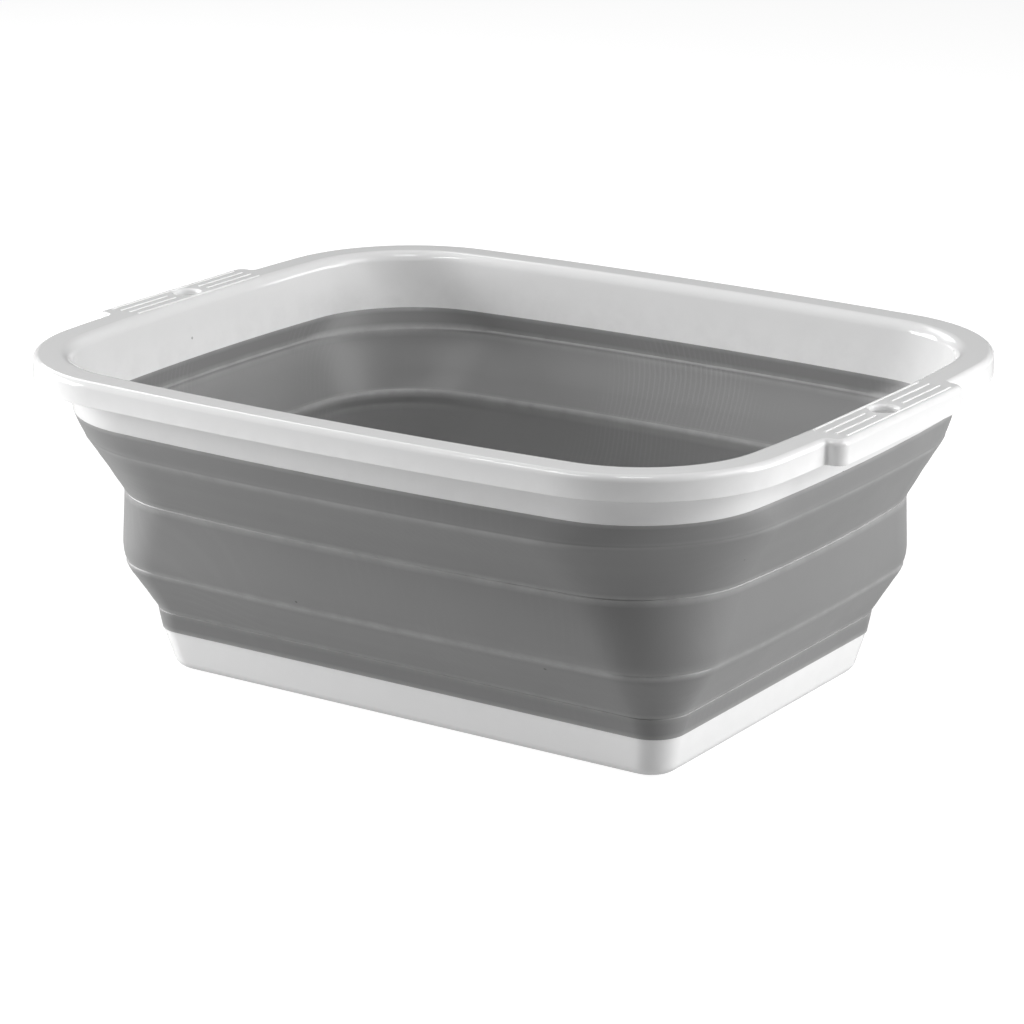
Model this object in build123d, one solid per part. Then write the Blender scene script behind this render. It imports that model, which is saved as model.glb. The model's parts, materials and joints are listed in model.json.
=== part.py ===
"""Fold-flat rectangular pet bathtub: a rigid rim and a tray base joined by a folding rubber wall.

X runs along the long sides, Y across, Z up. The origin is on the floor under the tub's centre.
Every closed section of the tub is a ring: two long and two short sides that bow outwards a little,
joined by corner arcs that are tangent to them. Walls are ruled surfaces through such rings.
"""
from build123d import *
import os
from collections import namedtuple
from math import atan2, cos, hypot, pi, sin

os.makedirs("parts", exist_ok=True)

# A ring: height, half length, half width, corner radius and how far each side falls by its corner.
Ring = namedtuple("Ring", "z length width corner bow")

# ---- driving dimensions, millimetres ----
RIM_TOP = 158.5
RIM_OUTER = Ring(RIM_TOP, 200.0, 165.3, 76.0, 9.2)
RIM_MOUTH = Ring(RIM_TOP, 183.2, 147.5, 57.0, 9.3)      # inner wall just under the rounded lip
SKIRT_BOTTOM = 147.0
PLASTIC = 2.5                                           # wall of the rigid mouldings
FLANGE_UNDERSIDE = RIM_TOP - PLASTIC
LIP_RADIUS = 5.0                                        # rounding from the flange into the mouth
EDGE_RADIUS = 3.0                                       # rounding along the flange's outer edge

COLLAR_TOP = Ring(SKIRT_BOTTOM, 186.8, 151.2, 66.0, 9.2)
COLLAR_BOTTOM = Ring(131.5, 184.7, 149.1, 64.5, 9.2)
COLLAR_INSIDE = Ring(131.5, 181.3, 145.7, 61.0, 9.2)

CUFF_BULGE = Ring(123.5, 185.0, 149.4, 76.0, 9.2)
UPPER_RIDGE = Ring(119.5, 184.3, 148.8, 81.0, 9.0)      # where the upper fold hangs from its cuff
BAND_TOP = Ring(91.0, 168.9, 127.8, 57.0, 9.3)
BAND_HIP = Ring(64.0, 166.1, 122.9, 42.0, 6.2)
BAND_ROUND = Ring(60.0, 165.4, 122.0, 40.0, 5.7)
BAND_BOTTOM = Ring(57.0, 164.5, 120.9, 38.0, 5.2)       # where the lower fold meets the band
FOLD_ROUND = Ring(53.5, 162.6, 118.7, 35.0, 4.6)
FOLD_BREAK = Ring(50.0, 160.2, 116.0, 32.0, 4.0)
LOWER_CREASE = Ring(30.5, 147.3, 100.9, 19.5, 0.5)
BASE_TOP = Ring(20.4, 144.7, 97.9, 15.5, 0.5)
BASE_SIDE = Ring(6.0, 141.0, 94.2, 14.0, 0.5)
BASE_SOLE = Ring(0.0, 135.8, 89.2, 11.0, 0.5)

CUFF_WALL = 3.6                                         # rubber bonded round a rigid edge
BAND_WALL = 2.8                                         # the stiff middle band
FOLD_WALL = 1.8                                         # the thin walls that turn inside out
BASE_PROUD = 0.4                                        # step from the base out to its cuff
TRAY_WALL = 2.6
TRAY_FLOOR = 3.0
TONGUE_WALL = 1.2                                       # edge of rigid plastic inside each cuff
TONGUE_HEIGHT = 4.0
TONGUE_INSET = 0.8
FOLD_GAP = 0.3                                          # between a fold and the body it hinges on

GRIP_HALF = 61.2                                        # where the grip's fillets leave the skirt
GRIP_ARC = 4.4                                          # both arcs of the grip's S-shaped end
GRIP_ROOT = 0.5                                         # how far the hollow arc starts inside the skirt
GRIP_INSIDE = 188.0                                     # seam between grip and flange
HOLE_X = 195.6
HOLE_RADIUS = 6.5
HOLE_CHAMFER = 0.5
RIB_FIRST = 187.2                                       # rib nearest the mouth
RIB_PITCH = 5.4
RIB_WIDTH = 1.2
RIB_HEIGHT = 0.7
RIB_HALF = 47.8
RIB_GAP = 12.6                                          # half of the break beside the hang hole


# ---- rings, skins and walls ----
def inset(ring, by, z=None):
    """The ring moved inwards by a distance, at its own height or another."""
    height = ring.z if z is None else z
    return Ring(height, ring.length - by, ring.width - by, ring.corner - by, ring.bow)


def tangent_points(ring):
    """The first quadrant's arc ends and the middle of its corner arc, with the sides' ends."""
    long_radius = ring.length ** 2 / (2 * ring.bow)
    short_radius = ring.width ** 2 / (2 * ring.bow)
    long_y = ring.width - long_radius
    short_x = ring.length - short_radius
    long_reach = long_radius - ring.corner
    short_reach = short_radius - ring.corner
    span = hypot(short_x, long_y)
    ex, ey = short_x / span, -long_y / span
    along = (long_reach ** 2 - short_reach ** 2 + span ** 2) / (2 * span)
    across = (long_reach ** 2 - along ** 2) ** 0.5
    centres = [(ex * along - side * ey * across, long_y + ey * along + side * ex * across)
               for side in (1, -1)]
    cx, cy = max(centres)
    start = atan2(cy - long_y, cx)
    end = atan2(cy, cx - short_x)
    points = [(cx + ring.corner * cos(turn), cy + ring.corner * sin(turn))
              for turn in (start, (start + end) / 2, end)]
    return [(0, ring.width)] + points + [(ring.length, 0)]


def outline(ring):
    """The ring as a flat face: four side arcs and four corner arcs."""
    top, first, middle, last, side = tangent_points(ring)

    def at(point, x_sign, y_sign):
        return (x_sign * point[0], y_sign * point[1], ring.z)

    arcs = [ThreePointArc(at(first, -1, 1), at(top, 1, 1), at(first, 1, 1)),
            ThreePointArc(at(first, 1, 1), at(middle, 1, 1), at(last, 1, 1)),
            ThreePointArc(at(last, 1, 1), at(side, 1, 1), at(last, 1, -1)),
            ThreePointArc(at(last, 1, -1), at(middle, 1, -1), at(first, 1, -1)),
            ThreePointArc(at(first, 1, -1), at(top, 1, -1), at(first, -1, -1)),
            ThreePointArc(at(first, -1, -1), at(middle, -1, -1), at(last, -1, -1)),
            ThreePointArc(at(last, -1, -1), at(side, -1, 1), at(last, -1, 1)),
            ThreePointArc(at(last, -1, 1), at(middle, -1, 1), at(first, -1, 1))]
    return make_face(Wire(arcs))


def skin(*rings):
    """The solid inside a ruled surface through the rings, in order of height."""
    return loft([outline(ring) for ring in rings], ruled=True)


def band(thickness, *rings):
    """A wall of even thickness in plan, whose outside passes through the rings."""
    return skin(*rings) - skin(*[inset(ring, thickness) for ring in rings])


def tongue(ring, direction):
    """A thin upright edge on a ring, standing up (1) or hanging down (-1) from it."""
    outer = inset(ring, TONGUE_INSET)
    inner = inset(outer, TONGUE_WALL)
    height = direction * TONGUE_HEIGHT
    return extrude(outline(outer), height, dir=(0, 0, 1)) - extrude(outline(inner), height, dir=(0, 0, 1))


def rounding(ring, radius, turns):
    """Rings down a quarter-round lip from the flat at the ring's height into an upright wall."""
    steps = [pi / 2 * turn / turns for turn in range(turns + 1)]
    return [inset(ring, -radius * (1 - sin(step)), ring.z - radius * (1 - cos(step)))
            for step in steps]


def column(face, low, high):
    """An upright solid over a plan face drawn at any height."""
    return extrude(Pos(0, 0, low - face.center().Z) * face, high - low, dir=(0, 0, 1))


def rounded_column(face, low, high):
    """An upright solid over a plan face, with its top edges rounded."""
    solid = column(face, low, high)
    return fillet(solid.edges().group_by(Axis.Z)[-1], EDGE_RADIUS)


# ---- rim with its two grips, one moulding ----
def grip_plan(side, wall=0.0):
    """Plan of a grip: straight outer edge, and ends of a hollow arc running into a round one."""
    fall = RIM_OUTER.bow * (GRIP_HALF / RIM_OUTER.width) ** 2
    skirt = RIM_OUTER.length - fall - GRIP_ROOT
    middle = skirt + GRIP_ARC
    hollow = GRIP_ARC + wall
    round_ = GRIP_ARC - wall
    bend = GRIP_HALF - GRIP_ARC
    corner = bend - GRIP_ARC
    slant = cos(pi / 4)

    def at(x, y):
        return (side * x, y)

    def end(sign):
        return [ThreePointArc(at(middle - hollow, sign * GRIP_HALF),
                              at(middle - hollow * slant, sign * (GRIP_HALF - hollow * slant)),
                              at(middle, sign * (GRIP_HALF - hollow))),
                ThreePointArc(at(middle, sign * (GRIP_HALF - hollow)),
                              at(middle + round_ * slant, sign * (corner + round_ * slant)),
                              at(middle + round_, sign * corner))]

    inner = COLLAR_BOTTOM.length - PLASTIC
    edges = end(1) + end(-1)
    edges.append(Line(at(middle + round_, corner), at(middle + round_, -corner)))
    edges.append(Line(at(inner, GRIP_HALF), at(inner, -GRIP_HALF)))
    for sign in (1, -1):
        edges.append(Line(at(middle - hollow, sign * GRIP_HALF), at(inner, sign * GRIP_HALF)))
    return make_face(Wire(edges))


def rib(x, low, high):
    """One raised line on a grip's top, with rounded upper edges."""
    body = Pos(x, (low + high) / 2, RIM_TOP) * Box(RIB_WIDTH, high - low, 2 * RIB_HEIGHT)
    upper = body.edges().filter_by(Axis.Y).group_by(Axis.Z)[-1]
    return fillet(upper, RIB_WIDTH / 3)


def ribs(side):
    """Four lines along a grip. The middle two stop short of the hang hole."""
    lines = []
    for number in range(4):
        x = side * (RIB_FIRST + number * RIB_PITCH)
        if number in (1, 2):
            lines += [rib(x, -RIB_HALF, -RIB_GAP), rib(x, RIB_GAP, RIB_HALF)]
        else:
            lines.append(rib(x, -RIB_HALF, RIB_HALF))
    return lines


def hang_hole(side):
    """The round hole through a grip, chamfered at the top."""
    spot = Pos(side * HOLE_X, 0, RIM_TOP)
    bore = spot * Cylinder(HOLE_RADIUS, 8 * PLASTIC)
    sink = spot * Cone(HOLE_RADIUS, HOLE_RADIUS + 2 * HOLE_CHAMFER, 2 * HOLE_CHAMFER)
    return bore + sink


def rim_moulding():
    """Flange, skirt, collar and both grips, before they are parted at the grips' seams."""
    block = rounded_column(outline(RIM_OUTER), SKIRT_BOTTOM, RIM_TOP)
    hollow = column(outline(inset(RIM_OUTER, PLASTIC)), SKIRT_BOTTOM, FLANGE_UNDERSIDE)
    for side in (1, -1):
        block += rounded_column(grip_plan(side), SKIRT_BOTTOM, RIM_TOP)
        hollow += column(grip_plan(side, PLASTIC), SKIRT_BOTTOM, FLANGE_UNDERSIDE)
    collar = skin(COLLAR_BOTTOM, COLLAR_TOP, inset(COLLAR_TOP, 0, FLANGE_UNDERSIDE))
    lip = rounding(RIM_MOUTH, LIP_RADIUS, 4)
    mouth = skin(COLLAR_INSIDE, *reversed(lip))
    body = block - hollow + collar
    for side in (1, -1):
        for line in ribs(side):
            body += line
        body -= hang_hole(side)
    return body - mouth


def grip_zone(side):
    """The box that parts the top of a grip from the flange."""
    length = RIM_OUTER.length + 4 * GRIP_ARC - GRIP_INSIDE
    height = PLASTIC + 2 * RIB_HEIGHT
    middle = GRIP_INSIDE + length / 2
    return Pos(side * middle, 0, FLANGE_UNDERSIDE + height / 2) * Box(length, 2 * GRIP_HALF, height)


def rim_nodes():
    """The rim moulding parted into its flange, its two grip tops, its skirt and its collar."""
    moulding = rim_moulding()
    height = 2 * PLASTIC
    across = 4 * RIM_OUTER.length
    above = Pos(0, 0, FLANGE_UNDERSIDE + height / 2) * Box(across, across, height)
    top = moulding & above
    collar, skirt = (moulding - above).solids().sort_by(SortBy.VOLUME, reverse=True)
    flange = top - grip_zone(1) - grip_zone(-1)
    return {"rim_flange": flange, "grip_right": top & grip_zone(1), "grip_left": top & grip_zone(-1),
            "rim_skirt": skirt, "rim_collar": collar + tongue(COLLAR_BOTTOM, -1)}


# ---- the folding wall ----
def wall_nodes():
    """Two cuffs bonded to the rigid parts, and a stiff band between two thin folds."""
    upper_cuff = band(CUFF_WALL, UPPER_RIDGE, CUFF_BULGE, COLLAR_BOTTOM) - tongue(COLLAR_BOTTOM, -1)
    upper_fold = band(FOLD_WALL, BAND_TOP, inset(UPPER_RIDGE, 0, UPPER_RIDGE.z - FOLD_GAP))
    middle_band = band(BAND_WALL, BAND_BOTTOM, BAND_ROUND, BAND_HIP, BAND_TOP)
    fold_end = inset(BAND_BOTTOM, 0, BAND_BOTTOM.z - FOLD_GAP)
    lower_fold = band(FOLD_WALL, LOWER_CREASE, FOLD_BREAK, FOLD_ROUND, fold_end)
    cuff_foot = inset(BASE_TOP, -BASE_PROUD)
    lower_cuff = band(CUFF_WALL, cuff_foot, LOWER_CREASE) - tongue(BASE_TOP, 1)
    return {"upper_cuff": upper_cuff, "upper_fold": upper_fold, "middle_band": middle_band,
            "lower_fold": lower_fold, "lower_cuff": lower_cuff}


# ---- the tray base ----
def base_tray():
    """Shallow tray: tapered side, rounded bottom edge and a flat floor and sole."""
    edge = [inset(BASE_SIDE, 1.2, 2.6), inset(BASE_SIDE, 2.9, 0.7)]
    outer = skin(BASE_SOLE, edge[1], edge[0], BASE_SIDE, BASE_TOP)
    inner_side = inset(BASE_SIDE, TRAY_WALL, TRAY_FLOOR + 3)
    inner_floor = inset(inner_side, 3, TRAY_FLOOR)
    inner_round = inset(inner_side, 1, TRAY_FLOOR + 1)
    inner = skin(inner_floor, inner_round, inner_side, inset(BASE_TOP, TRAY_WALL))
    return outer - inner + tongue(BASE_TOP, 1)


nodes = rim_nodes() | wall_nodes() | {"base_tray": base_tray()}
for name, solid in nodes.items():
    export_step(solid, f"parts/{name}.step")
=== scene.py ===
"""Looks for the fold-flat pet bathtub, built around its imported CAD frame. Metres, X along the tub, Z up.

The order follows the tub as it is made: camera and floor, the white rim moulding with its grips,
the grey rubber wall in its two folding halves, and the white tray base.
"""
import json
from math import atan2, cos, hypot, pi, radians, sin, tan

import bmesh
import bpy
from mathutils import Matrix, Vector


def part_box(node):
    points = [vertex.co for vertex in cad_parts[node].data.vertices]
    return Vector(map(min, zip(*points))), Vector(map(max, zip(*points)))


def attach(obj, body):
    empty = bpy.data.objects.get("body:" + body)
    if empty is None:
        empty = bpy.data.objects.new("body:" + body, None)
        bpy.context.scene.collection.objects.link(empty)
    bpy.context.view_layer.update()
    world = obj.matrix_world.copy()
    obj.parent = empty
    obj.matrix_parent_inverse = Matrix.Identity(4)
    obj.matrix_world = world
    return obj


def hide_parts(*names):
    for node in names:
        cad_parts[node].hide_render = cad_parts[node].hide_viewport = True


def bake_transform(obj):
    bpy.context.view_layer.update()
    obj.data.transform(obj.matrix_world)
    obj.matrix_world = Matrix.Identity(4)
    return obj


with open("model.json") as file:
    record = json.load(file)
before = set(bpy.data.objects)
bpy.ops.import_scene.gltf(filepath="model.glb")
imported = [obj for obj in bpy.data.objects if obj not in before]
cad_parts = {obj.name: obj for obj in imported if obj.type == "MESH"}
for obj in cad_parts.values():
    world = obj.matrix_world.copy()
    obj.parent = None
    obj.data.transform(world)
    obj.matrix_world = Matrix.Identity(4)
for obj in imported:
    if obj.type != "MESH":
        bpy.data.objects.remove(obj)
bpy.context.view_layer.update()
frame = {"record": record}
MM = 0.001

# ---- Camera, floor and studio light ----
# A long lens looks down a little at the near corner of the tub, which stands on a wide white table.
# Large low soft boxes light both sides. A strip over the front, weaker boxes high on the right and at
# the back, and a small one overhead fill in.
AIM = Vector((0.0203, -0.0323, 0.0892))
VIEW_TURN = 0.5902
VIEW_RISE = 0.2967
VIEW_DISTANCE = 1.717
LENS = 130.2
SENSOR = 36.0
away = Vector((sin(VIEW_TURN) * cos(VIEW_RISE), -cos(VIEW_TURN) * cos(VIEW_RISE), sin(VIEW_RISE)))
bpy.ops.object.camera_add(
    location=AIM + away * VIEW_DISTANCE, rotation=away.to_track_quat("Z", "Y").to_euler())
camera = bpy.context.object
camera.data.lens = LENS
camera.data.sensor_width = SENSOR
bpy.context.scene.camera = camera
bpy.context.scene.view_settings.view_transform = "Standard"

LIGHT_AIM = Vector((0, 0, 0.1))
LIGHT_DISTANCE = 1.9
WORLD_STRENGTH = 0.02


def soft_box(name, turn, rise, size, power):
    """A soft box that faces the tub from a turn and a rise in degrees, the turn counted from the front."""
    turn, rise = radians(turn), radians(rise)
    toward = Vector((sin(turn) * cos(rise), -cos(turn) * cos(rise), sin(rise)))
    spot = LIGHT_AIM + toward * LIGHT_DISTANCE
    bpy.ops.object.light_add(type="AREA", location=spot, rotation=toward.to_track_quat("Z", "Y").to_euler())
    light = bpy.context.object
    light.name = name
    light.data.shape = "RECTANGLE"
    light.data.size, light.data.size_y = size
    light.data.energy = power


soft_box("left_box", -70, 11, (1.3, 0.9), 43)
soft_box("front_left_box", -25, 54, (0.9, 0.25), 9)
soft_box("right_low_box", 122, 11, (1.3, 0.9), 25.5)
soft_box("right_high_box", 104, 38, (1.1, 0.9), 12.5)
soft_box("back_box", 240, 34, (0.9, 0.9), 7)
soft_box("top_box", 34, 76, (0.45, 0.3), 5)

world = bpy.data.worlds.new("studio")
bpy.context.scene.world = world
world.use_nodes = True
background = world.node_tree.nodes["Background"]
background.inputs["Color"].default_value = (1, 1, 1, 1)
background.inputs["Strength"].default_value = WORLD_STRENGTH

# The table is matte and glows a little, and it is lit up to plain white where the lens sees it directly.
FLOOR_SIZE = 60
FLOOR_GLOW = 0.26
FLOOR_GLOW_TO_LENS = 0.86
bpy.ops.mesh.primitive_plane_add(size=FLOOR_SIZE, location=(0, 0, 0))
floor = bpy.context.object
floor.name = "floor"
floor_white = bpy.data.materials.new("floor_white")
floor_white.use_nodes = True
floor_shader = floor_white.node_tree.nodes["Principled BSDF"]
floor_shader.inputs["Base Color"].default_value = (0.3, 0.3, 0.3, 1)
floor_shader.inputs["Roughness"].default_value = 0.9
floor_shader.inputs["Specular IOR Level"].default_value = 0.1
floor_shader.inputs["Emission Color"].default_value = (1, 1, 1, 1)
seen = floor_white.node_tree.nodes.new("ShaderNodeLightPath")
glow = floor_white.node_tree.nodes.new("ShaderNodeMapRange")
glow.inputs["To Min"].default_value = FLOOR_GLOW
glow.inputs["To Max"].default_value = FLOOR_GLOW_TO_LENS
floor_white.node_tree.links.new(seen.outputs["Is Camera Ray"], glow.inputs["Value"])
floor_white.node_tree.links.new(glow.outputs["Result"], floor_shader.inputs["Emission Strength"])
floor.data.materials.append(floor_white)

# ---- Rim moulding ----
# The rim is one glossy polypropylene moulding: flange, down-turned skirt, recessed collar and a grip
# at each short end. Cut level at any height, it is a ring of bowed sides with tangent corner arcs.


def cad_height(node, corner):
    """The height of a CAD node's low corner (0) or high corner (1), in millimetres."""
    return round(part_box(node)[corner][2] / MM, 1)


# Sizes of the tub are in millimetres. A ring is a height, a half length, a half width, a corner radius
# and the bow of its sides, that is how far they swell in the middle. The CAD's flange is measured to the
# top of its raised lines.
CAD_LINE_RISE = 0.7
UNDERSIDE = cad_height("rim_flange", 0)
TOP = round(cad_height("rim_flange", 1) - CAD_LINE_RISE, 1)
SKIRT_FOOT = cad_height("rim_skirt", 0)
COLLAR_FOOT = cad_height("upper_cuff", 1)
WALL = 2.5
SKIRT = (TOP, 200.0, 165.3, 76.0, 9.2)
COLLAR = (UNDERSIDE, 186.8, 151.2, 66.0, 9.2)
COLLAR_END = (COLLAR_FOOT, 184.7, 149.1, 64.5, 9.2)
MOUTH = (TOP, 183.2, 147.5, 57.0, 9.3)
MOUTH_END = (COLLAR_FOOT - 1.6, 181.2, 145.6, 60.9, 9.2)
# Steps in a ring's corner and side arcs. A side's arc goes 0.97 of the way to the corner's, so that the
# two keep their own ends.
CORNER_STEPS = 18
SIDE_STEPS = 10
SIDE_REACH = 0.97
CLOSE = 0.001
BRIDGE_LIFT = 50
# The heights of the rings of the tube being made, by ring number.
RING_HEIGHTS = {}


def inward(ring, by, drop=0.0):
    """A ring moved in by a distance, and down."""
    return (ring[0] - drop, ring[1] - by, ring[2] - by, ring[3] - by, ring[4])


def at_height(ring, height):
    """The same ring at another height."""
    return (height,) + ring[1:]


def begin(name):
    """Open a new empty mesh in edit mode, to be shaped by hand."""
    bpy.ops.object.select_all(action="DESELECT")
    bpy.ops.mesh.primitive_plane_add(size=1)
    piece = bpy.context.object
    piece.name = name
    piece.data.name = name
    bpy.ops.object.mode_set(mode="EDIT")
    bpy.ops.mesh.delete(type="VERT")
    mesh = bmesh.from_edit_mesh(piece.data)
    mesh.verts.layers.int.new("ring")
    bmesh.update_edit_mesh(piece.data)
    return piece


def pick(piece, test):
    """Select the vertices that pass a test of place and ring number, with the edges between them."""
    mesh = bmesh.from_edit_mesh(piece.data)
    ring = mesh.verts.layers.int["ring"]
    for part in list(mesh.faces) + list(mesh.edges):
        part.select = False
    for vert in mesh.verts:
        vert.select = bool(test(vert.co / MM, vert[ring]))
    mesh.select_mode = {"VERT"}
    mesh.select_flush(True)
    bmesh.update_edit_mesh(piece.data)


def roundness(turn):
    """The bevel profile that makes a bend of this turn a true arc."""
    share = cos(turn / 2) / (1 + cos(turn / 2))
    return ((1 + share) / 2) ** 2


def add_ring(piece, number, z, half_length, half_width, corner, bow):
    """A closed ring: a square stretched to its corners, with its corners and bowed sides rounded.

    The sides are arcs about points far across the tub, and the corner arc is tangent to both. The square's
    corners go where the tangents at the ends of the corner arc cross.
    """
    long_radius = half_length ** 2 / (2 * bow)
    short_radius = half_width ** 2 / (2 * bow)
    long_y = half_width - long_radius
    short_x = half_length - short_radius
    span = hypot(short_x, long_y)
    along = ((long_radius - corner) ** 2 - (short_radius - corner) ** 2 + span ** 2) / (2 * span)
    across = ((long_radius - corner) ** 2 - along ** 2) ** 0.5
    centre_x = (short_x * along - long_y * across) / span
    centre_y = long_y + (-long_y * along - short_x * across) / span
    if centre_x < 0 or centre_y < 0:
        centre_x = (short_x * along + long_y * across) / span
        centre_y = long_y + (-long_y * along + short_x * across) / span
    long_slope = atan2(centre_x, centre_y - long_y)
    short_slope = atan2(centre_y, centre_x - short_x)
    turn = pi / 2 - long_slope - short_slope
    reach = corner * tan(turn / 2)
    knee_x = centre_x + corner * sin(long_slope) + reach * cos(long_slope)
    knee_y = centre_y + corner * cos(long_slope) - reach * sin(long_slope)
    long_mid = long_y + long_radius / cos(long_slope)
    short_mid = short_x + short_radius / cos(short_slope)
    middle = (0, 0, z * MM)
    bpy.ops.mesh.primitive_plane_add(size=2, location=middle)
    bpy.ops.mesh.delete(type="ONLY_FACE")
    pick(piece, lambda at, ring: ring == 0)
    bpy.ops.transform.resize(value=(knee_x * MM, knee_y * MM, 1), center_override=middle)
    bpy.ops.mesh.subdivide(number_cuts=1)
    pick(piece, lambda at, ring: ring == 0 and abs(at.x) < CLOSE)
    bpy.ops.transform.resize(value=(1, long_mid / knee_y, 1), center_override=middle)
    pick(piece, lambda at, ring: ring == 0 and abs(at.y) < CLOSE)
    bpy.ops.transform.resize(value=(short_mid / knee_x, 1, 1), center_override=middle)
    bend = dict(affect="VERTICES", offset_type="OFFSET", clamp_overlap=False)
    pick(piece, lambda at, ring: ring == 0 and abs(at.x) > CLOSE and abs(at.y) > CLOSE)
    bpy.ops.mesh.bevel(offset=reach * MM, segments=CORNER_STEPS, profile=roundness(turn), **bend)
    pick(piece, lambda at, ring: ring == 0 and abs(at.x) < CLOSE)
    bpy.ops.mesh.bevel(offset=SIDE_REACH * long_radius * tan(long_slope) * MM, segments=SIDE_STEPS,
                       profile=roundness(2 * long_slope), **bend)
    pick(piece, lambda at, ring: ring == 0 and abs(at.y) < CLOSE)
    bpy.ops.mesh.bevel(offset=SIDE_REACH * short_radius * tan(short_slope) * MM, segments=SIDE_STEPS,
                       profile=roundness(2 * short_slope), **bend)
    mesh = bmesh.from_edit_mesh(piece.data)
    layer = mesh.verts.layers.int["ring"]
    for vert in mesh.verts:
        if vert[layer] == 0:
            vert[layer] = number
    bmesh.update_edit_mesh(piece.data)


def unname_between(piece, first, second):
    """Take the ring number off the loops that a bridge adds between its two rings."""
    mesh = bmesh.from_edit_mesh(piece.data)
    layer = mesh.verts.layers.int["ring"]
    named = [vert for vert in mesh.verts if vert[layer] in (first, second)]
    heights = {ring: RING_HEIGHTS[ring] * MM for ring in (first, second)}
    for vert in named:
        if abs(vert.co.z - heights[vert[layer]]) > CLOSE * MM:
            vert[layer] = -1
    bmesh.update_edit_mesh(piece.data)


def join_rings(piece, first, second, cuts=0):
    """Bridge two rings with faces. A plain bridge is made with one ring lifted, so that it can't twist."""
    lift = 0 if cuts else BRIDGE_LIFT * MM
    pick(piece, lambda at, ring: ring == second)
    bpy.ops.transform.translate(value=(0, 0, lift))
    pick(piece, lambda at, ring: ring in (first, second))
    bpy.ops.mesh.bridge_edge_loops(number_cuts=cuts)
    if cuts:
        unname_between(piece, first, second)
    pick(piece, lambda at, ring: ring == second)
    bpy.ops.transform.translate(value=(0, 0, -lift))


def round_ring(piece, number, radius, steps):
    """Round the edge that runs along a ring."""
    pick(piece, lambda at, ring: ring == number)
    bpy.ops.mesh.bevel(offset=radius * MM, segments=steps, affect="EDGES", clamp_overlap=False)


def tube(name, rings, cuts=None, closed=True):
    """A moulding whose section passes through the rings in order, and back to the first if it is closed."""
    piece = begin(name)
    RING_HEIGHTS.clear()
    RING_HEIGHTS.update({number: ring[0] for number, ring in enumerate(rings, 1)})
    for number, ring in enumerate(rings, 1):
        add_ring(piece, number, *ring)
    for number in range(1, len(rings)):
        join_rings(piece, number, number + 1, (cuts or {}).get(number, 0))
    if closed:
        join_rings(piece, len(rings), 1)
    return piece


def close_up(piece):
    """Leave edit mode with doubles merged and the faces pointing outwards."""
    bpy.ops.mesh.select_all(action="SELECT")
    bpy.ops.mesh.remove_doubles(threshold=CLOSE * MM)
    bpy.ops.mesh.normals_make_consistent(inside=False)
    bpy.ops.object.mode_set(mode="OBJECT")
    return piece


def cut_or_join(piece, other, operation):
    """Cut a helper shape out of a piece or melt it into the piece, then throw the helper away."""
    bpy.ops.object.select_all(action="DESELECT")
    bpy.context.view_layer.objects.active = piece
    piece.select_set(True)
    bpy.ops.object.modifier_add(type="BOOLEAN")
    modifier = piece.modifiers[-1]
    modifier.operation = operation
    modifier.solver = "EXACT"
    modifier.object = other
    bpy.ops.object.modifier_apply(modifier=modifier.name)
    bpy.data.objects.remove(other)


SMOOTH_BEND = radians(7)
SHARP_BEND = radians(23)


def mark_edges(piece):
    """Note on each vertex how sharp the bends around it are, for the wear and painted highlight on edges."""
    mesh = bmesh.new()
    mesh.from_mesh(piece.data)
    sharp = [max([edge.calc_face_angle(0) for edge in vert.link_edges] or [0]) for vert in mesh.verts]
    mesh.free()
    layer = piece.data.attributes.new("edge", "FLOAT", "POINT")
    for number, angle in enumerate(sharp):
        layer.data[number].value = min(max((angle - SMOOTH_BEND) / (SHARP_BEND - SMOOTH_BEND), 0), 1)


def finish_shading(piece, angle=32):
    """Smooth the rounded faces, keep the flat ones flat, and mark the edges."""
    mark_edges(piece)
    bpy.ops.object.select_all(action="DESELECT")
    bpy.context.view_layer.objects.active = piece
    piece.select_set(True)
    bpy.ops.object.shade_smooth_by_angle(angle=radians(angle))
    bpy.ops.object.modifier_add(type="WEIGHTED_NORMAL")
    modifier = piece.modifiers[-1]
    modifier.keep_sharp = True
    bpy.ops.object.modifier_apply(modifier=modifier.name)


# From the foot of the collar, up under the flange, down inside the skirt, round and over into the mouth.
rim = tube("rim", [
    COLLAR_END,
    at_height(COLLAR, SKIRT_FOOT),
    COLLAR,
    at_height(inward(SKIRT, WALL), UNDERSIDE),
    at_height(inward(SKIRT, WALL), SKIRT_FOOT),
    at_height(SKIRT, SKIRT_FOOT),
    SKIRT,
    MOUTH,
    MOUTH_END])
# The outer lip and the lip of the mouth are well rounded, the feet of the skirt and the collar only eased.
# Each row is a ring's number, a radius and the steps in it.
RIM_ROUNDS = ((7, 3.0, 7), (8, 5.0, 10), (6, 0.5, 2), (5, 0.4, 2), (1, 0.3, 2))
for number, radius, steps in RIM_ROUNDS:
    round_ring(rim, number, radius, steps)
close_up(rim)

# Each grip is a thicker stretch of the flange, hollow underneath, with a hang hole through the top.
GRIP_EDGE = 207.04
GRIP_ROOT = 198.82
GRIP_INNER = 189.5
GRIP_END = 57.6
GRIP_HOLLOW = 1.2
GRIP_SPARE = 1.5
GRIP_ROUND = 6.2
GRIP_LIP = 3.0
GRIP_EASE = 0.4
OVERCUT_IN = 0.5
OVERCUT_DOWN = 6
hole = [mount for mount in frame["record"]["mounts"] if mount["name"] == "hang_hole_right"][0]
HOLE_X = round(hole["pos_m"][0] / MM, 1)
HOLE_RADIUS = hole["dims"]["r_mm"]
HOLE_START = 2.2
HOLE_STEPS = ((0.3, 1.5), (0.12, 1.0), (0.3, 0.5), (0.55, 0.15), (0.7, 0.0), (6, 0.0))


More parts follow.
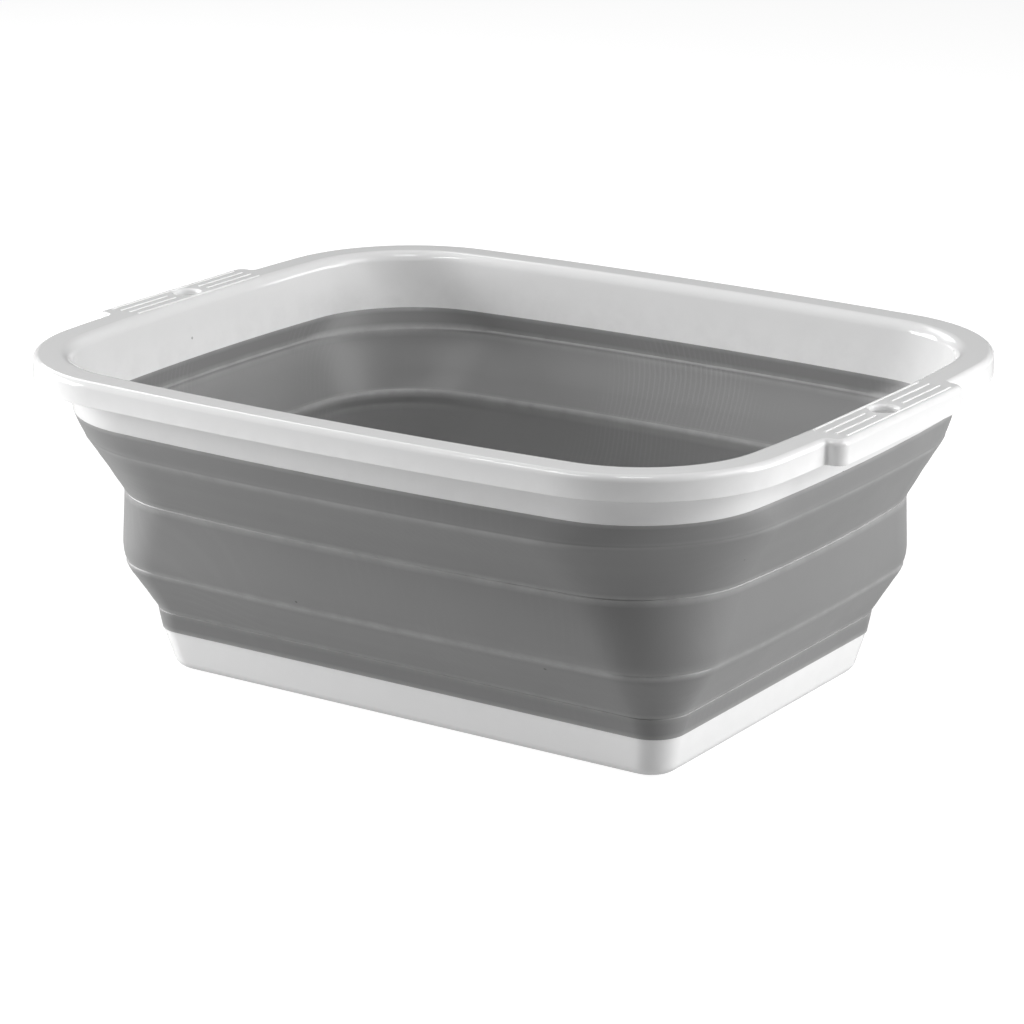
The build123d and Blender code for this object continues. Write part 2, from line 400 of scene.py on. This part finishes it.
def grip_block(side, inner, wall, low, high, edge_radius):
    """A block drawn in plan, with a small hollow arc and a large round one at each end.

    The hollow arc leads from the skirt into the grip, and the round one is the grip's corner.
    """
    piece = begin("grip_block")
    root, outer, end = GRIP_ROOT - wall, GRIP_EDGE - wall, GRIP_END - wall
    reach = GRIP_END + GRIP_HOLLOW + GRIP_SPARE
    middle = (side * (inner + root) / 2 * MM, 0, high * MM)
    bpy.ops.mesh.primitive_plane_add(size=1, location=middle)
    pick(piece, lambda at, ring: True)
    bpy.ops.transform.resize(value=((root - inner) * MM, 2 * reach * MM, 1), center_override=middle)
    pick(piece, lambda at, ring: side * at.x > (inner + root) / 2)
    bpy.ops.mesh.subdivide(number_cuts=2)
    pick(piece, lambda at, ring: side * at.x > (inner + root) / 2 and abs(at.y) < reach / 2)
    bpy.ops.transform.resize(value=(1, 3 * end / reach, 1), center_override=(0, 0, high * MM))
    bpy.ops.mesh.extrude_edges_move(TRANSFORM_OT_translate={"value": (side * (outer - root) * MM, 0, 0)})
    pick(piece, lambda at, ring: abs(side * at.x - root) < CLOSE and abs(at.y) < end + 1)
    bpy.ops.mesh.dissolve_edges(use_verts=False)
    bend = dict(affect="VERTICES", offset_type="OFFSET", clamp_overlap=False)
    pick(piece, lambda at, ring: side * at.x > root + 1)
    bpy.ops.mesh.bevel(offset=(GRIP_ROUND - wall) * MM, segments=10, **bend)
    pick(piece, lambda at, ring: abs(side * at.x - root) < CLOSE and abs(at.y) < end + 1)
    bpy.ops.mesh.bevel(offset=(GRIP_HOLLOW + wall) * MM, segments=5, **bend)
    pick(piece, lambda at, ring: True)
    bpy.ops.mesh.extrude_region_move(TRANSFORM_OT_translate={"value": (0, 0, (low - high) * MM)})
    if edge_radius:
        pick(piece, lambda at, ring: at.z > high - CLOSE)
        bpy.ops.mesh.bevel(offset=edge_radius * MM, segments=7, affect="EDGES", clamp_overlap=False)
        pick(piece, lambda at, ring: at.z < low + CLOSE)
        bpy.ops.mesh.bevel(offset=GRIP_EASE * MM, segments=2, affect="EDGES", clamp_overlap=False)
    return close_up(piece)


def hang_hole(side):
    """A round punch with a flared top. Each step is a drop and how much wider than the hole it ends."""
    piece = begin("hang_hole")
    radius = HOLE_RADIUS + HOLE_START
    middle = (side * HOLE_X * MM, 0, (TOP + HOLE_STEPS[0][0]) * MM)
    bpy.ops.mesh.primitive_circle_add(vertices=56, radius=radius * MM, fill_type="NGON", location=middle)
    for drop, flare in HOLE_STEPS:
        narrowing = (HOLE_RADIUS + flare) / radius
        bpy.ops.mesh.extrude_region_move(TRANSFORM_OT_translate={"value": (0, 0, -drop * MM)})
        bpy.ops.transform.resize(value=(narrowing, narrowing, 1), center_override=middle)
        radius = HOLE_RADIUS + flare
    return close_up(piece)


# The hollow is cut a little past the grip's inner end and the foot of the skirt, to leave no skin there.
for side in (1, -1):
    cut_or_join(rim, grip_block(side, GRIP_INNER, 0, SKIRT_FOOT, TOP, GRIP_LIP), "UNION")
    hollow = grip_block(side, GRIP_INNER - OVERCUT_IN, WALL, SKIRT_FOOT - OVERCUT_DOWN, UNDERSIDE, 0)
    cut_or_join(rim, hollow, "DIFFERENCE")
    cut_or_join(rim, hang_hole(side), "DIFFERENCE")
finish_shading(rim)


def new_group(name, inputs, outputs):
    """An empty shader group with named sockets."""
    group = bpy.data.node_groups.new(name, "ShaderNodeTree")
    for label, kind, value in inputs:
        socket = group.interface.new_socket(name=label, in_out="INPUT", socket_type="NodeSocket" + kind)
        if value is not None:
            socket.default_value = value
    for label, kind in outputs:
        group.interface.new_socket(name=label, in_out="OUTPUT", socket_type="NodeSocket" + kind)
    return group, group.nodes.new("NodeGroupInput"), group.nodes.new("NodeGroupOutput")


def add_node(tree, kind, links=(), **settings):
    """A node with its settings, plain values for some sockets, and links into others."""
    node = tree.nodes.new("ShaderNode" + kind)
    values = settings.pop("values", {})
    for key, value in settings.items():
        setattr(node, key, value)
    for key, value in values.items():
        node.inputs[key].default_value = value
    for key, source in dict(links).items():
        tree.links.new(source, node.inputs[key])
    return node


def ramp(tree, value, stops):
    """A value remapped through a list of (position, grey) stops."""
    node = add_node(tree, "ValToRGB", {"Fac": value})
    elements = node.color_ramp.elements
    while len(elements) < len(stops):
        elements.new(0.5)
    for element, (position, grey) in zip(elements, stops):
        element.position = position
        element.color = (grey, grey, grey, 1)
    return node.outputs["Color"]


def mix(tree, factor, first, second):
    """A mix of two colours, each a link or a plain grey, by a linked factor."""
    node = add_node(tree, "Mix", {"Factor": factor}, data_type="RGBA")
    for socket, value in ((node.inputs["A"], first), (node.inputs["B"], second)):
        if isinstance(value, (int, float)):
            socket.default_value = (value, value, value, 1)
        else:
            tree.links.new(value, socket)
    return [out for out in node.outputs if out.type == "RGBA"][0]


# Sparse round dots of dust, and a pale, dull band along the edges, partly rub wear and partly painted
# highlight where the edges catch the light. Plastic and rubber both have them.
specks, given, made = new_group(
    "dust_specks",
    [("Place", "Vector", None), ("Spacing", "Float", 60.0),
     ("Size", "Float", 0.08), ("Share", "Float", 0.06)],
    [("Mask", "Float")])
cells = add_node(specks, "TexVoronoi", {"Vector": given.outputs["Place"], "Scale": given.outputs["Spacing"]},
                 feature="F1", values={"Randomness": 1.0})
near = add_node(specks, "Math", {0: cells.outputs["Distance"], 1: given.outputs["Size"]},
                operation="LESS_THAN")
cell_colour = add_node(specks, "SeparateColor", {"Color": cells.outputs["Color"]})
chosen = add_node(specks, "Math", {0: cell_colour.outputs["Red"], 1: given.outputs["Share"]},
                  operation="LESS_THAN")
both = add_node(specks, "Math", {0: near.outputs[0], 1: chosen.outputs[0]}, operation="MULTIPLY")
specks.links.new(both.outputs[0], made.inputs["Mask"])

edge_rub_and_highlight, given, made = new_group(
    "edge_rub_and_highlight", [("Place", "Vector", None), ("Edge", "Float", 0.0), ("Scale", "Float", 90.0)],
    [("Mask", "Float")])
patches = add_node(edge_rub_and_highlight, "TexNoise",
                   {"Vector": given.outputs["Place"], "Scale": given.outputs["Scale"]},
                   values={"Detail": 4.0, "Roughness": 0.6})
# This mask paints edges paler: partly rub wear, partly painted highlight.
worn_and_lit = ramp(edge_rub_and_highlight, patches.outputs["Fac"], [(0.35, 0.6), (0.60, 1.0)])
rubbed_and_lit = add_node(edge_rub_and_highlight, "Math", {0: given.outputs["Edge"], 1: worn_and_lit}, operation="MULTIPLY")
edge_rub_and_highlight.links.new(rubbed_and_lit.outputs[0], made.inputs["Mask"])


# The plastic is glossy white polypropylene. It is faintly cloudy and faintly wavy from the mould, holds a
# few specks of dust by its static charge, and is duller along its edges and painted paler there, partly as
# wear and partly as painted highlight.
# The paler edge colour is partly wear and partly painted highlight.
RUB_AND_HIGHLIGHT_PALE = 1.12
RUB_ROUGH = 0.17
DUST_DARK = 0.62


def glossy_white(name, tone):
    """Glossy moulded polypropylene of a given grey level."""
    material = bpy.data.materials.new(name)
    material.use_nodes = True
    tree = material.node_tree
    shader = tree.nodes["Principled BSDF"]
    shader.inputs["IOR"].default_value = 1.49
    shader.inputs["Specular IOR Level"].default_value = 0.5
    place = add_node(tree, "TexCoord").outputs["Object"]
    edge = add_node(tree, "Attribute", attribute_name="edge").outputs["Fac"]
    dust = add_node(tree, "Group", node_tree=specks)
    rub_and_highlight = add_node(tree, "Group", node_tree=edge_rub_and_highlight)
    tree.links.new(place, dust.inputs["Place"])
    tree.links.new(place, rub_and_highlight.inputs["Place"])
    tree.links.new(edge, rub_and_highlight.inputs["Edge"])
    cloud = add_node(tree, "TexNoise", {"Vector": place}, values={"Scale": 14.0, "Detail": 3.0})
    body = mix(tree, cloud.outputs["Fac"], tone * 0.985, min(tone * 1.015, 1))
    # Edges are painted paler here: partly rub wear, partly painted highlight.
    worn_and_lit_body = mix(tree, rub_and_highlight.outputs["Mask"], body, min(tone * RUB_AND_HIGHLIGHT_PALE, 1))
    dusty = mix(tree, dust.outputs["Mask"], worn_and_lit_body, tone * DUST_DARK)
    tree.links.new(dusty, shader.inputs["Base Color"])
    smear = add_node(tree, "TexNoise", {"Vector": place},
                     values={"Scale": 38.0, "Detail": 5.0, "Roughness": 0.6})
    gloss = ramp(tree, smear.outputs["Fac"], [(0.35, 0.035), (0.7, 0.07)])
    rough = mix(tree, rub_and_highlight.outputs["Mask"], gloss, RUB_ROUGH)
    tree.links.new(rough, shader.inputs["Roughness"])
    peel = add_node(tree, "TexNoise", {"Vector": place}, values={"Scale": 420.0, "Detail": 2.0})
    wave = add_node(tree, "TexNoise", {"Vector": place}, values={"Scale": 24.0, "Detail": 1.0})
    fine = add_node(tree, "Bump", {"Height": peel.outputs["Fac"]},
                    values={"Strength": 0.03, "Distance": 0.0001})
    soft = add_node(tree, "Bump", {"Height": wave.outputs["Fac"], "Normal": fine.outputs["Normal"]},
                    values={"Strength": 0.04, "Distance": 0.001})
    tree.links.new(soft.outputs["Normal"], shader.inputs["Normal"])
    return material


rim_white = glossy_white("rim_white", 0.84)
rim.data.materials.append(rim_white)
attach(rim, "rim")
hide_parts("rim_flange", "rim_skirt", "rim_collar", "grip_right", "grip_left")

# ---- Raised lines on the grips ----
# Four low ridges moulded along the top of each grip stop wet fingers slipping. The middle two are
# broken where the hang hole comes through, and the first runs along the lip of the mouth.
LINE_FIRST = 187.2
LINE_PITCH = 5.4
LINE_WIDTH = 1.15
LINE_RISE = 0.48
LINE_REACH = 47.8
LINE_BREAK = 12.6
LINE_SUNK = 0.8
LINE_ROUND = 0.4


def add_line(side, x, near, far):
    """One ridge, sunk a little into the grip so that it is part of it."""
    height = LINE_RISE + LINE_SUNK
    middle = (side * x * MM, (near + far) / 2 * MM, (TOP + LINE_RISE - height / 2) * MM)
    bpy.ops.mesh.primitive_cube_add(size=1, location=middle)
    size = (LINE_WIDTH * MM, (far - near) * MM, height * MM)
    bpy.ops.transform.resize(value=size, center_override=middle)


for side, name in ((1, "grip_lines_right"), (-1, "grip_lines_left")):
    lines = begin(name)
    for number in range(4):
        across = LINE_FIRST + number * LINE_PITCH
        if number in (1, 2):
            add_line(side, across, -LINE_REACH, -LINE_BREAK)
            add_line(side, across, LINE_BREAK, LINE_REACH)
        else:
            add_line(side, across, -LINE_REACH, LINE_REACH)
    pick(lines, lambda at, ring: at.z > TOP)
    bpy.ops.mesh.bevel(offset=LINE_ROUND * MM, segments=4, affect="EDGES", clamp_overlap=False)
    close_up(lines)
    finish_shading(lines, angle=40)
    lines.data.materials.append(rim_white)
    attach(lines, "rim")

# ---- Folding wall ----
# One grey thermoplastic rubber moulding, bonded to the collar above and the tray below. Stiff cuffs and
# a stiff middle band are joined by two thin slopes, which turn inside out as the tub is pressed flat.
# The named rings are where the real wall changes direction, from the top ridge down to the tray. The
# crease is ring 16 of the lower wall.
RIDGE = (cad_height("upper_cuff", 0), 184.3, 148.8, 81.0, 9.0)
BAND_TOP = (cad_height("upper_fold", 0), 168.9, 127.8, 57.0, 9.3)
BAND_LOW = (64.0, 166.1, 122.9, 42.0, 6.2)
BREAK = (50.0, 160.2, 116.0, 32.0, 4.0)
CREASE = (cad_height("lower_fold", 0), 147.3, 100.9, 19.5, 0.5)
TRAY_TOP = (cad_height("lower_cuff", 0), 144.7, 97.9, 15.5, 0.5)
CREASE_NUMBER = 16
FOLD_STEP = 2.4
WALL_ANGLE = 42


def between(first, second, share, out=0.0):
    """A ring part of the way between two rings, moved out a little."""
    mixed = tuple(a + (b - a) * share for a, b in zip(first, second))
    return inward(mixed, -out)


def wall(name, outside, inside):
    """A wall from its outer rings, top to bottom, and its inner rings, bottom to top.

    Tall steps are cut into shorter ones, so that the wall can bend there.
    """
    cuts = {}
    rings = outside + inside
    for number, (first, second) in enumerate(zip(rings, rings[1:]), 1):
        drop = abs(first[0] - second[0])
        cuts[number] = max(0, round(drop / FOLD_STEP) - 1)
    return tube(name, rings, cuts)


def mark_rest(piece):
    """Keep each vertex's moulded place, so that a pattern stays on the rubber as it folds."""
    layer = piece.data.attributes.new("rest_place", "FLOAT_VECTOR", "POINT")
    for number, vert in enumerate(piece.data.vertices):
        layer.data[number].vector = vert.co


# The upper half: the cuff bulges a little under the collar, and the ridge stands at its foot. The fold then
# runs in to the band. Inside, the fold is thinner than the cuff, with a soft step between them.
upper_wall = wall("upper_wall", [
    COLLAR_END,
    (127.5, 184.95, 149.35, 70.5, 9.2),
    (123.0, 184.8, 149.2, 76.5, 9.1),
    (121.6, 184.7, 149.1, 78.2, 9.1),
    (120.9, 184.75, 149.15, 79.0, 9.1),
    (120.2, 184.75, 149.15, 80.0, 9.0),
    between(RIDGE, BAND_TOP, 0.03, 0.35),
    between(RIDGE, BAND_TOP, 0.10, 0.25),
    between(RIDGE, BAND_TOP, 0.22, 0.05),
    between(RIDGE, BAND_TOP, 0.60, -0.1),
    between(RIDGE, BAND_TOP, 1.0, 0.1),
], [
    inward(BAND_TOP, 2.2, 0.0),
    between(RIDGE, BAND_TOP, 0.93, -1.9),
    between(RIDGE, BAND_TOP, 0.75, -1.9),
    between(RIDGE, BAND_TOP, 0.2, -2.3),
    between(RIDGE, BAND_TOP, 0.05, -3.1),
    between(RIDGE, BAND_TOP, 0.005, -3.7),
    inward((120.1, 184.3, 148.8, 80.0, 9.0), 3.7),
    inward((120.7, 184.3, 148.8, 79.5, 9.0), 3.1),
    inward((129.9, 184.7, 149.1, 64.4, 9.2), 3.5),
])
close_up(upper_wall)

# The lower half: the band starts with a fine bead, leans in, and ends in a small ledge over the lower fold.
# Inside, the band has a rolled shoulder that stands up in front of the upper fold.
lower_wall = wall("lower_wall", [
    inward(BAND_TOP, -0.1),
    inward(BAND_TOP, -0.32, 0.35),
    inward(BAND_TOP, -0.28, 0.75),
    inward(BAND_TOP, 0.0, 1.3),
    BAND_LOW,
    (60.0, 165.3, 121.9, 40.0, 5.7),
    (57.6, 164.45, 120.9, 38.5, 5.3),
    (55.7, 163.4, 119.7, 37.0, 5.0),
    (55.2, 163.45, 119.75, 36.5, 4.9),
    (54.5, 163.3, 119.6, 36.0, 4.8),
    (52.5, 162.2, 118.3, 34.3, 4.5),
    (50.3, 160.7, 116.6, 32.3, 4.1),
    between(BREAK, CREASE, 0.16, 0.15),
    between(BREAK, CREASE, 0.6, -0.1),
    between(BREAK, CREASE, 0.99, -0.45),
    CREASE,
    inward(TRAY_TOP, -0.4),
], [
    inward(TRAY_TOP, 2.6),
    inward(CREASE, 2.9, 0.5),
    between(BREAK, CREASE, 0.95, -2.1),
    between(BREAK, CREASE, 0.6, -1.9),
    between(BREAK, CREASE, 0.1, -1.9),
    inward((54.0, 162.6, 118.7, 35.5, 4.7), 2.3),
    inward((58.0, 164.7, 121.2, 39.0, 5.4), 2.8),
    inward(BAND_LOW, 2.8),
    inward((84.0, 168.2, 126.5, 53.0, 8.5), 3.2),
    inward(BAND_TOP, 4.3, 3.2),
    inward(BAND_TOP, 4.7, 1.4),
    inward(BAND_TOP, 4.6, 0.0),
    inward(BAND_TOP, 4.1, -1.0),
    inward(BAND_TOP, 3.3, -1.4),
    inward(BAND_TOP, 2.6, -0.9),
    inward(BAND_TOP, 2.2, 0.0),
])
round_ring(lower_wall, CREASE_NUMBER, 0.3, 3)
close_up(lower_wall)

# Faint curved wipe marks: fine rings round a point by the far wall, broken into patches by noise. They
# start 6 cm from that point, are strongest at 11 to 15 cm, and weaken past that.
wipe_marks, given, made = new_group(
    "wipe_marks",
    [("Place", "Vector", None), ("Reach", "Float", 16.0)],
    [("Height", "Float"), ("Mask", "Float")])
drift = add_node(wipe_marks, "TexNoise", {"Vector": given.outputs["Place"]},
                 values={"Scale": 5.0, "Detail": 2.0})
shift = add_node(wipe_marks, "VectorMath", {0: drift.outputs["Color"]},
                 operation="SCALE", values={"Scale": 0.03})
wander = add_node(wipe_marks, "VectorMath", {0: given.outputs["Place"], 1: shift.outputs[0]},
                  operation="ADD")
centred = add_node(wipe_marks, "Mapping", {"Vector": wander.outputs[0]},
                   values={"Location": (0.105, -0.145, -0.10)})
strokes = add_node(wipe_marks, "TexWave", {"Vector": centred.outputs[0]},
                   wave_type="RINGS", rings_direction="SPHERICAL",
                   values={"Scale": 110.0, "Distortion": 0.9, "Detail": 3.0, "Detail Scale": 2.0})
patch = add_node(wipe_marks, "TexNoise",
                 {"Vector": given.outputs["Place"], "Scale": given.outputs["Reach"]},
                 values={"Detail": 2.0})
where = ramp(wipe_marks, patch.outputs["Fac"], [(0.46, 0.0), (0.60, 1.0)])
distance = add_node(wipe_marks, "VectorMath", {0: centred.outputs[0]}, operation="LENGTH")
near = ramp(wipe_marks, distance.outputs["Value"], [(0.06, 0.0), (0.11, 0.9), (0.15, 0.9), (0.27, 0.2)])
local = add_node(wipe_marks, "Math", {0: where, 1: near}, operation="MULTIPLY")
thin = ramp(wipe_marks, strokes.outputs["Fac"], [(0.55, 0.0), (0.95, 1.0)])
marks = add_node(wipe_marks, "Math", {0: local.outputs[0], 1: thin}, operation="MULTIPLY")
wipe_marks.links.new(marks.outputs[0], made.inputs["Height"])
wipe_marks.links.new(marks.outputs[0], made.inputs["Mask"])

# The rubber is matte grey, with a fine tooth, a slight sag, creases and edges painted pale, partly as rub
# wear and partly as painted highlight, and more dust.
# The pale crease grey is partly rub wear and partly painted highlight; the wipe marks use it too.
RUBBER_TONE = 0.24
CREASE_HIGHLIGHT_AND_WIPE_PALE = 1.5
WIPED_SHARE = 0.2
RUBBER_DUST_DARK = 0.55
wall_grey = bpy.data.materials.new("wall_grey")
wall_grey.use_nodes = True
tree = wall_grey.node_tree
shader = tree.nodes["Principled BSDF"]
shader.inputs["IOR"].default_value = 1.5
shader.inputs["Specular IOR Level"].default_value = 0.5
shader.inputs["Sheen Weight"].default_value = 0.15
shader.inputs["Sheen Roughness"].default_value = 0.4
place = add_node(tree, "Attribute", attribute_name="rest_place").outputs["Vector"]
edge = add_node(tree, "Attribute", attribute_name="edge").outputs["Fac"]
dust = add_node(tree, "Group", node_tree=specks)
dust.inputs["Spacing"].default_value = 75.0
dust.inputs["Size"].default_value = 0.055
dust.inputs["Share"].default_value = 0.12
rub_and_highlight = add_node(tree, "Group", node_tree=edge_rub_and_highlight)
wipes = add_node(tree, "Group", node_tree=wipe_marks)
for group in (dust, rub_and_highlight, wipes):
    tree.links.new(place, group.inputs["Place"])
tree.links.new(edge, rub_and_highlight.inputs["Edge"])
cloud = add_node(tree, "TexNoise", {"Vector": place},
                 values={"Scale": 11.0, "Detail": 4.0, "Roughness": 0.55})
body = mix(tree, cloud.outputs["Fac"], RUBBER_TONE * 0.93, RUBBER_TONE * 1.07)
# Creases and edges are painted paler here: partly rub wear, partly painted highlight.
rubbed_and_lit = mix(tree, rub_and_highlight.outputs["Mask"], body, RUBBER_TONE * CREASE_HIGHLIGHT_AND_WIPE_PALE)
wiped_share = add_node(tree, "Math", {0: wipes.outputs["Mask"]},
                       operation="MULTIPLY", values={1: WIPED_SHARE})
wiped = mix(tree, wiped_share.outputs[0], rubbed_and_lit, RUBBER_TONE * CREASE_HIGHLIGHT_AND_WIPE_PALE)
dusty = mix(tree, dust.outputs["Mask"], wiped, RUBBER_TONE * RUBBER_DUST_DARK)
tree.links.new(dusty, shader.inputs["Base Color"])
smear = add_node(tree, "TexNoise", {"Vector": place}, values={"Scale": 26.0, "Detail": 4.0})
matte = ramp(tree, smear.outputs["Fac"], [(0.35, 0.38), (0.7, 0.46)])
tree.links.new(matte, shader.inputs["Roughness"])
tooth = add_node(tree, "TexNoise", {"Vector": place}, values={"Scale": 1500.0, "Detail": 2.0})
sag = add_node(tree, "TexNoise", {"Vector": place}, values={"Scale": 20.0, "Detail": 2.0})
fine = add_node(tree, "Bump", {"Height": tooth.outputs["Fac"]}, values={"Strength": 0.12, "Distance": 0.0002})
scratch = add_node(tree, "Bump", {"Height": wipes.outputs["Height"], "Normal": fine.outputs["Normal"]},
                   values={"Strength": 0.25, "Distance": 0.0002})
soft = add_node(tree, "Bump", {"Height": sag.outputs["Fac"], "Normal": scratch.outputs["Normal"]},
                values={"Strength": 0.06, "Distance": 0.002})
tree.links.new(soft.outputs["Normal"], shader.inputs["Normal"])

for piece in (upper_wall, lower_wall):
    mark_rest(piece)
    finish_shading(piece, angle=WALL_ANGLE)
    piece.data.materials.append(wall_grey)
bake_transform(upper_wall)
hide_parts("upper_cuff", "upper_fold")
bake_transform(lower_wall)
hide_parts("middle_band", "lower_fold", "lower_cuff")

# ---- Tray base ----
# A shallow tray of the same white polypropylene closes the tub, its white painted lighter than the rim's
# as painted light. Its side leans in towards the table, its bottom edge is well rounded, and the rubber wall
# is moulded onto its top edge. It is open at the top.
TRAY_FOOT = (0.0, 139.5, 92.7, 13.5, 0.5)
TRAY_FLOOR = (3.0, 137.7, 90.9, 12.0, 0.5)
TRAY_WALL = 2.6
# Each row is a ring's number, a radius and the steps in it: the bottom edge, the corner of the floor
# inside, and the two edges at the top.
TRAY_ROUNDS = ((1, 5.0, 9), (4, 3.0, 6), (2, 0.3, 2), (3, 0.3, 2))
tray = tube("base", [TRAY_FOOT, TRAY_TOP, inward(TRAY_TOP, TRAY_WALL), TRAY_FLOOR], closed=False)
for number in (1, 4):
    pick(tray, lambda at, ring: ring == number)
    bpy.ops.mesh.edge_face_add()
for number, radius, steps in TRAY_ROUNDS:
    round_ring(tray, number, radius, steps)
close_up(tray)
finish_shading(tray)
# The tray's tone is set above the rim's as painted light, not as a different plastic.
tray.data.materials.append(glossy_white("base_white", 0.94))
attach(tray, "base")
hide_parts("base_tray")
